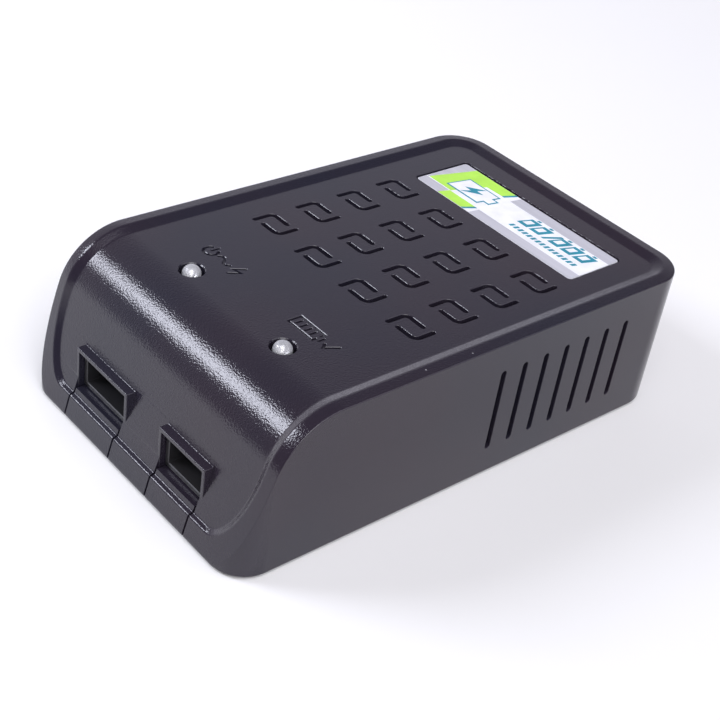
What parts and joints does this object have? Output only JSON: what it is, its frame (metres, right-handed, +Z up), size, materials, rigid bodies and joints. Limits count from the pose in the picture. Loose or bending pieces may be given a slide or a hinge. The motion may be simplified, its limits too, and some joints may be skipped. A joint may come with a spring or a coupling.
{
  "type": "balance battery charger",
  "caption": "Small mains-powered balance charger: black plastic case with a sloping front holding two pin-header balance sockets, two indicator lamps and a vented, sunk top panel.",
  "frame": {"origin": "middle of the resting surface, below the centre of the case", "axes": "+Z up; the balance sockets face -Y, the mains inlet faces +Y, and +X is to the right when the sockets are seen from the front"},
  "size_m": [0.0556, 0.0898, 0.0256],
  "materials": {
    "black_plastic": "fine spark-eroded grain on black ABS, softly polished on the edges",
    "black_nylon": "smooth black nylon",
    "clear_epoxy": "clear cast epoxy",
    "label_film": "printed film: white and brushed grey bands with lime and teal blocks",
    "green_laminate": "green solder mask",
    "tinned_copper": "bright tin plating",
    "nickel_plated_brass": "nickel plating on brass",
    "ferrite": "dull dark sintered ferrite",
    "yellow_tape": "wound polyester tape",
    "blue_sleeve": "shrunk sleeve",
    "black_sleeve": "shrunk sleeve",
    "blue_ceramic": "dipped ceramic",
    "moulded_resin": "dull moulded resin",
    "aluminium": "cut and folded sheet",
    "insulation_paper": "fibre sheet",
    "zinc_steel": "zinc-plated",
    "black_rubber": "soft black rubber",
    "white_spacer": "natural nylon"
  },
  "bodies": {
    "root": {"balance_resistor_1": "moulded_resin", "balance_resistor_2": "moulded_resin", "balance_resistor_3": "moulded_resin", "bridge_rectifier": "moulded_resin", "charge_controller": "moulded_resin", "circuit_board": "green_laminate", "foot_back_left": "black_rubber", "foot_back_right": "black_rubber", "foot_front_left": "black_rubber", "foot_front_right": "black_rubber", "heat_sink": "aluminium", "inlet_pin_left": "nickel_plated_brass", "inlet_pin_right": "nickel_plated_brass", "insulation_sheet": "insulation_paper", "label": "label_film", "line_choke": "ferrite", "lower_housing": "black_plastic", "mains_capacitor": "black_sleeve", "mains_fuse": "moulded_resin", "mains_inlet": "black_nylon", "optocoupler": "moulded_resin", "output_capacitor_1": "blue_sleeve", "output_capacitor_2": "blue_sleeve", "power_lamp": "clear_epoxy", "power_lamp_spacer": "white_spacer", "safety_capacitor": "blue_ceramic", "screw_back_left": "zinc_steel", "screw_back_right": "zinc_steel", "screw_front_left": "zinc_steel", "screw_front_right": "zinc_steel", "socket_3_contact_1": "tinned_copper", "socket_3_contact_2": "tinned_copper", "socket_3_contact_3": "tinned_copper", "socket_3_pin": "black_nylon", "socket_4_contact_1": "tinned_copper", "socket_4_contact_2": "tinned_copper", "socket_4_contact_3": "tinned_copper", "socket_4_contact_4": "tinned_copper", "socket_4_pin": "black_nylon", "status_lamp": "clear_epoxy", "status_lamp_spacer": "white_spacer", "switching_transistor": "moulded_resin", "transformer_bobbin": "moulded_resin", "transformer_core_lower": "ferrite", "transformer_core_upper": "ferrite", "transformer_winding": "yellow_tape", "upper_housing": "black_plastic", "voltage_regulator": "moulded_resin"}
  },
  "joints": []
}
